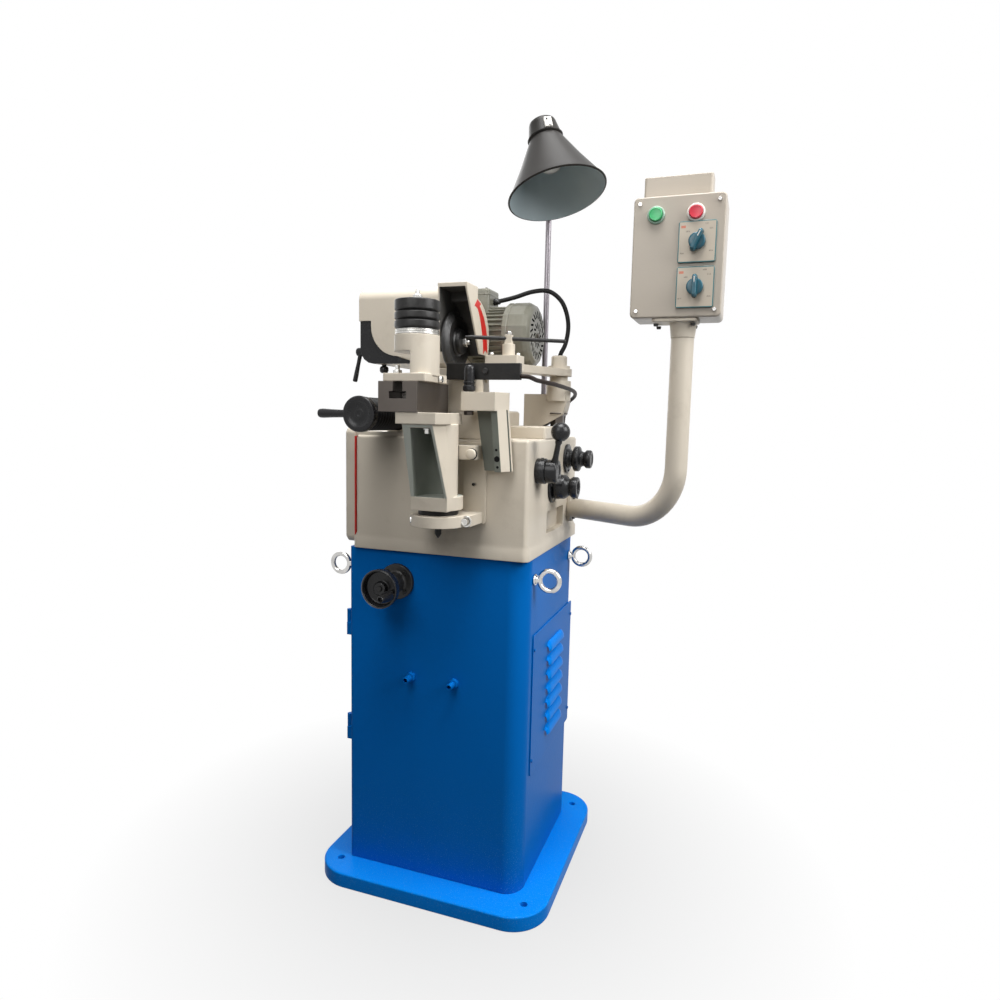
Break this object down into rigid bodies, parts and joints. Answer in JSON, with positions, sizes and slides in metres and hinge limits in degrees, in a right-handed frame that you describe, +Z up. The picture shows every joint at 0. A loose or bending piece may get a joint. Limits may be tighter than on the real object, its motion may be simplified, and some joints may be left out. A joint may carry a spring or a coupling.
{
  "type": "saw blade sharpening machine",
  "caption": "Floor-standing automatic grinder for circular saw blades: sheet pedestal, cast body, tilting grinding head, swinging blade arm, feed arm, lamp and control box.",
  "frame": {"origin": "centre of the base plate underside, on the floor", "axes": "+X to the control-box side, +Y away from the operator, +Z up"},
  "size_m": [0.7398, 0.571, 1.5426],
  "materials": {
    "blue_paint": "glossy sprayed enamel",
    "cream_paint": "satin enamel on castings, with a light texture",
    "motor_paint": "satin enamel",
    "black_plastic": "satin moulded",
    "black_steel": "blackened, oiled",
    "machined_steel": "ground",
    "bright_steel": "bright plated",
    "grinding_grit": null,
    "shade_paint": "dark metallic lacquer, pale inside",
    "rubber": "smooth",
    "green_cap": "glossy",
    "red_cap": "glossy",
    "teal_knob": "satin",
    "white_plate": "frosted"
  },
  "bodies": {
    "stand": {"base_plate": "blue_paint", "pedestal_column": "blue_paint", "motor_shelf": "blue_paint", "louvre_panel": "blue_paint", "eye_bolt_front_left": "bright_steel", "eye_bolt_rear_left": "bright_steel", "eye_bolt_front_right": "bright_steel", "eye_bolt_rear_right": "bright_steel", "handwheel_bearing": "black_steel", "drive_motor": "motor_paint", "drive_belt": "rubber", "body_casting": "cream_paint", "left_cover": "cream_paint", "lever_bearing": "black_plastic", "control_arm": "cream_paint", "control_box": "cream_paint", "control_box_lid": "cream_paint", "pivot_bracket": "cream_paint", "head_saddle": "cream_paint", "feed_post": "cream_paint", "guide_bar": "black_steel", "hanger_bracket": "cream_paint", "lamp_rod": "bright_steel", "motor_lead": "rubber", "guide_lead": "rubber"},
    "side_door": {"side_door": "blue_paint"},
    "door_latch": {"door_latch": "black_plastic"},
    "pedestal_handwheel": {"pedestal_handwheel": "black_plastic"},
    "handwheel_grip": {"handwheel_grip": "black_plastic"},
    "cam_shaft": {"cam_shaft": "machined_steel", "lower_knob": "black_plastic"},
    "drive_motor_pulley": {"drive_motor_pulley": "machined_steel"},
    "speed_lever": {"speed_lever": "black_plastic"},
    "upper_knob": {"upper_knob": "black_plastic"},
    "start_button": {"start_button": "green_cap"},
    "stop_button": {"stop_button": "red_cap"},
    "switch_knob_upper": {"switch_knob_upper": "teal_knob"},
    "switch_knob_lower": {"switch_knob_lower": "teal_knob"},
    "swing_arm": {"swing_arm": "cream_paint", "tslot_block": "machined_steel"},
    "arbor_carriage": {"arbor_carriage": "cream_paint"},
    "arbor_stack": {"arbor_ring": "bright_steel", "arbor_collar_lower": "black_steel", "arbor_collar_middle": "black_steel", "arbor_collar_upper": "black_steel"},
    "arbor_nut": {"arbor_nut": "bright_steel"},
    "crank_sleeve": {"crank_sleeve": "black_plastic"},
    "grinding_head": {"head_housing": "cream_paint", "wheel_guard": "cream_paint", "grinding_motor": "motor_paint", "motor_fan_cowl": "motor_paint"},
    "grinding_wheel": {"grinding_wheel": "grinding_grit"},
    "head_clamp_lever": {"head_clamp_lever": "black_plastic"},
    "infeed_knob": {"infeed_knob": "black_plastic"},
    "feed_arm": {"feed_arm": "cream_paint"},
    "pawl_clamp_screw": {"pawl_clamp_screw": "bright_steel"},
    "pawl_rod": {"pawl_rod": "black_steel"},
    "adjusting_screw": {"adjusting_screw": "black_steel"},
    "lamp_shade": {"lamp_shade": "shade_paint", "lamp_bulb": "white_plate"}
  },
  "joints": [
    {"name": "door_hinge", "type": "hinge", "parent": "stand", "child": "side_door", "pos_m": [-0.1933, -0.169, 0.43], "axis": [0, 0, 1], "range_deg": [0, 100]},
    {"name": "door_latch_turn", "type": "hinge", "parent": "side_door", "child": "door_latch", "pos_m": [-0.19, 0.13, 0.43], "axis": [1, 0, 0], "range_deg": [-90, 0]},
    {"name": "handwheel_turn", "type": "hinge", "parent": "stand", "child": "pedestal_handwheel", "pos_m": [-0.077, -0.25, 0.632], "axis": [0, 1, 0], "continuous": true},
    {"name": "handwheel_grip_spin", "type": "hinge", "parent": "pedestal_handwheel", "child": "handwheel_grip", "pos_m": [-0.052, -0.28, 0.624], "axis": [0, 1, 0], "continuous": true},
    {"name": "cam_turn", "type": "hinge", "parent": "stand", "child": "cam_shaft", "pos_m": [0, -0.017, 0.818], "axis": [1, 0, 0], "continuous": true},
    {"name": "drive_pulley_turn", "type": "hinge", "parent": "stand", "child": "drive_motor_pulley", "pos_m": [-0.092, -0.017, 0.348], "axis": [1, 0, 0], "continuous": true},
    {"name": "speed_lever_swing", "type": "hinge", "parent": "stand", "child": "speed_lever", "pos_m": [0.204, -0.123, 0.856], "axis": [1, 0, 0], "range_deg": [-65, 40]},
    {"name": "upper_knob_turn", "type": "hinge", "parent": "stand", "child": "upper_knob", "pos_m": [0.2, 0.095, 0.869], "axis": [1, 0, 0], "continuous": true},
    {"name": "start_press", "type": "slide", "parent": "stand", "child": "start_button", "axis": [0, 1, 0], "range_m": [0, 0.004], "stiffness_N_per_m": 300, "springref_m": -0.002},
    {"name": "stop_press", "type": "slide", "parent": "stand", "child": "stop_button", "axis": [0, 1, 0], "range_m": [0, 0.004], "stiffness_N_per_m": 300, "springref_m": -0.002},
    {"name": "upper_switch_turn", "type": "hinge", "parent": "stand", "child": "switch_knob_upper", "pos_m": [0.4455, -0.045, 1.277], "axis": [0, 1, 0], "range_deg": [-90, 0]},
    {"name": "lower_switch_turn", "type": "hinge", "parent": "stand", "child": "switch_knob_lower", "pos_m": [0.4455, -0.045, 1.197], "axis": [0, 1, 0], "range_deg": [-45, 45]},
    {"name": "arm_swing", "type": "hinge", "parent": "stand", "child": "swing_arm", "pos_m": [0.038, -0.248, 0.87], "axis": [0, 0, 1], "range_deg": [-12, 20]},
    {"name": "carriage_slide", "type": "slide", "parent": "swing_arm", "child": "arbor_carriage", "axis": [0, 1, 0], "range_m": [-0.008, 0.03]},
    {"name": "arbor_turn", "type": "hinge", "parent": "arbor_carriage", "child": "arbor_stack", "pos_m": [0.0105, -0.283, 1.11], "axis": [0, 0, 1], "continuous": true},
    {"name": "arbor_nut_turn", "type": "hinge", "parent": "arbor_carriage", "child": "arbor_nut", "pos_m": [0.0105, -0.283, 1.155], "axis": [0, 0, 1], "continuous": true},
    {"name": "crank_turn", "type": "hinge", "parent": "stand", "child": "crank_sleeve", "pos_m": [-0.094, -0.22, 0.955], "axis": [0, 1, 0], "range_deg": [-110, 100]},
    {"name": "head_tilt", "type": "hinge", "parent": "stand", "child": "grinding_head", "pos_m": [-0.06, 0.066, 1.036], "axis": [1, 0, 0], "range_deg": [-4, 0]},
    {"name": "wheel_spin", "type": "hinge", "parent": "grinding_head", "child": "grinding_wheel", "pos_m": [0.003, -0.1, 1.098], "axis": [1, 0, 0], "continuous": true},
    {"name": "clamp_lever_turn", "type": "hinge", "parent": "grinding_head", "child": "head_clamp_lever", "pos_m": [-0.21, -0.099, 1.081], "axis": [1, 0, 0], "range_deg": [-30, 60]},
    {"name": "infeed_turn", "type": "hinge", "parent": "grinding_head", "child": "infeed_knob", "pos_m": [-0.158, -0.092, 1.05], "axis": [0, 0, 1], "continuous": true},
    {"name": "feed_swing", "type": "hinge", "parent": "stand", "child": "feed_arm", "pos_m": [0.173, 0.05, 1.048], "axis": [0, 0, 1], "range_deg": [-4, 4]},
    {"name": "pawl_screw_turn", "type": "hinge", "parent": "feed_arm", "child": "pawl_clamp_screw", "pos_m": [0.116, -0.108, 1.11], "axis": [0, 0, 1], "continuous": true},
    {"name": "pawl_slide", "type": "slide", "parent": "feed_arm", "child": "pawl_rod", "axis": [0.848, 0.5299, 0], "range_m": [-0.012, 0.02]},
    {"name": "adjuster_turn", "type": "hinge", "parent": "stand", "child": "adjusting_screw", "pos_m": [0.077, -0.207, 1.01], "axis": [0, 0, 1], "continuous": true},
    {"name": "lamp_tilt", "type": "hinge", "parent": "stand", "child": "lamp_shade", "pos_m": [0.127, 0.1, 1.494], "axis": [1, 0, 0], "range_deg": [-25, 0]}
  ],
  "couplings": [
    {"joint": "drive_pulley_turn", "follows": "cam_turn", "ratio": 2.0667}
  ]
}
